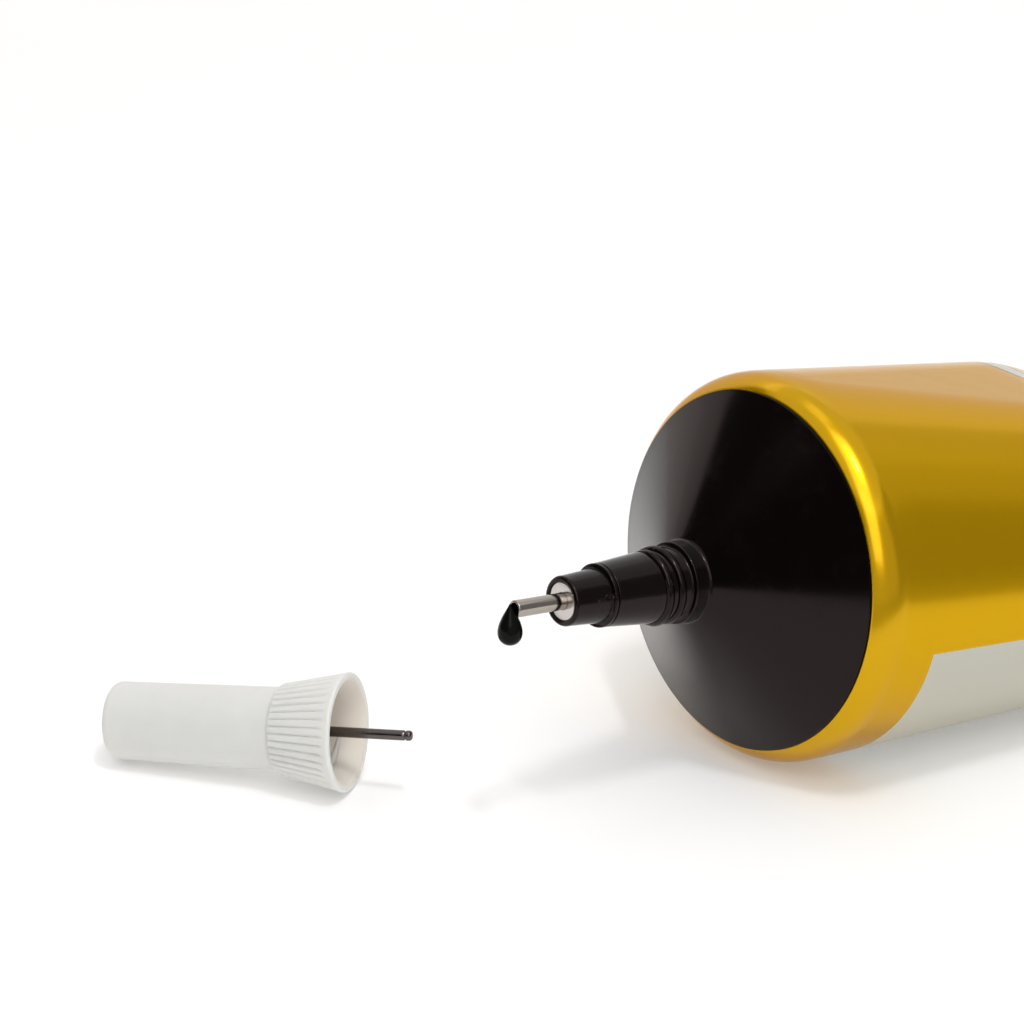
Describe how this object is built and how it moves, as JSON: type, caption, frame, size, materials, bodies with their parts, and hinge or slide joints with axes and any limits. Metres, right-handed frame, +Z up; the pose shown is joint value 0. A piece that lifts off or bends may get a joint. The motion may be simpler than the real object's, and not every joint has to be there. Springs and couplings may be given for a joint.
{
  "type": "glue tube",
  "caption": "Gold laminate glue tube with a black shoulder, needle nozzle and hanging drop, lying beside its white screw cap with a clearing pin.",
  "frame": {"origin": "on the bench, at the middle of the footprint of the tube and its cap", "axes": "+X along the lying tube towards its sealed tail, +Z up from the bench, nozzle towards -X"},
  "size_m": [0.1972, 0.0694, 0.0378],
  "materials": {
    "gold_laminate": "gold lacquered foil laminate",
    "black_plastic": "satin moulded plastic",
    "black_gloss": "smooth moulded plastic",
    "ferrule_metal": "turned bright",
    "needle_steel": "polished stainless",
    "glue": "wet gloss",
    "white_plastic": "satin polyethylene",
    "pin_steel": "dull drawn wire"
  },
  "bodies": {
    "tube": {"tube_sleeve": "gold_laminate", "shoulder_head": "black_plastic", "needle_holder": "black_gloss", "needle_ferrule": "ferrule_metal", "needle_tube": "needle_steel", "adhesive_fill": "glue", "glue_drop": "glue"},
    "cap_core": {"cap_pin": "pin_steel"},
    "cap": {"cap_shell": "white_plastic"}
  },
  "joints": [
    {"name": "cap_draw", "type": "slide", "parent": "tube", "child": "cap_core", "axis": [-0.5577, 0.83, 0], "range_m": [0, 0.03]},
    {"name": "cap_twist", "type": "hinge", "parent": "cap_core", "child": "cap", "pos_m": [-0.08235, 0.01287, 0.00576], "axis": [0.5557, -0.827, 0.0845], "continuous": true}
  ]
}
